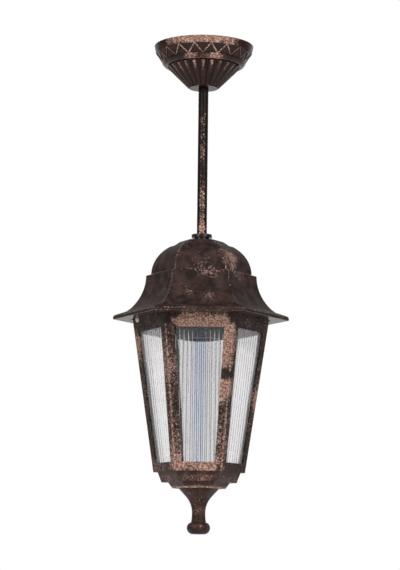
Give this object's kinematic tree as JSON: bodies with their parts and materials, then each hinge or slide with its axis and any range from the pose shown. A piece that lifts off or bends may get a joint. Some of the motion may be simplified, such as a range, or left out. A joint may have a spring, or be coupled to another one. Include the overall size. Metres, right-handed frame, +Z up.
{
  "type": "pendant light",
  "caption": "Six-sided garden lantern with ribbed panes and a ball finial, hung on a rigid pipe stem under a lobed round ceiling canopy, for lighting a porch from above.",
  "frame": {"origin": "centre of the ceiling plane, midway between the two slots of the ceiling bar", "axes": "+Z up into the ceiling along the stem's axis, -Y out of the front pane, +X towards a corner of the hexagon"},
  "size_m": [0.176, 0.1524, 0.4919],
  "materials": {
    "copper_brushed_enamel": "satin",
    "ribbed_glass": "gloss",
    "zinc_plated_steel": "satin",
    "nickel_brass": "satin",
    "white_moulding": "matte",
    "black_moulding": "satin",
    "steatite": "matte",
    "brown_insulation": "satin",
    "blue_insulation": "satin",
    "black_rubber": "matte"
  },
  "bodies": {
    "root": {"ceiling_canopy": "copper_brushed_enamel", "stem_tube": "copper_brushed_enamel", "stem_collar": "copper_brushed_enamel", "roof": "copper_brushed_enamel", "body_frame": "copper_brushed_enamel", "base_cup": "copper_brushed_enamel", "finial": "copper_brushed_enamel", "pane_front": "ribbed_glass", "pane_front_right": "ribbed_glass", "pane_back_right": "ribbed_glass", "pane_back": "ribbed_glass", "pane_back_left": "ribbed_glass", "pane_front_left": "ribbed_glass", "ceiling_bar": "zinc_plated_steel", "stem_top_nut": "zinc_plated_steel", "stem_lock_nut": "zinc_plated_steel", "stem_washer": "zinc_plated_steel", "canopy_lock_screw": "zinc_plated_steel", "terminal_block_screw": "zinc_plated_steel", "earth_screw": "zinc_plated_steel", "roof_washer": "zinc_plated_steel", "roof_nut": "zinc_plated_steel", "roof_screws": "zinc_plated_steel", "base_screws": "zinc_plated_steel", "finial_screw": "zinc_plated_steel", "terminal_clamps": "nickel_brass", "terminal_screws": "nickel_brass", "lampholder_shell": "nickel_brass", "lampholder_contact": "nickel_brass", "lampholder_terminal_screws": "nickel_brass", "terminal_block": "white_moulding", "lampholder_cap": "black_moulding", "lampholder_barrel": "black_moulding", "lampholder_core": "steatite", "live_lead": "brown_insulation", "neutral_lead": "blue_insulation", "roof_gasket": "black_rubber"}
  },
  "joints": []
}
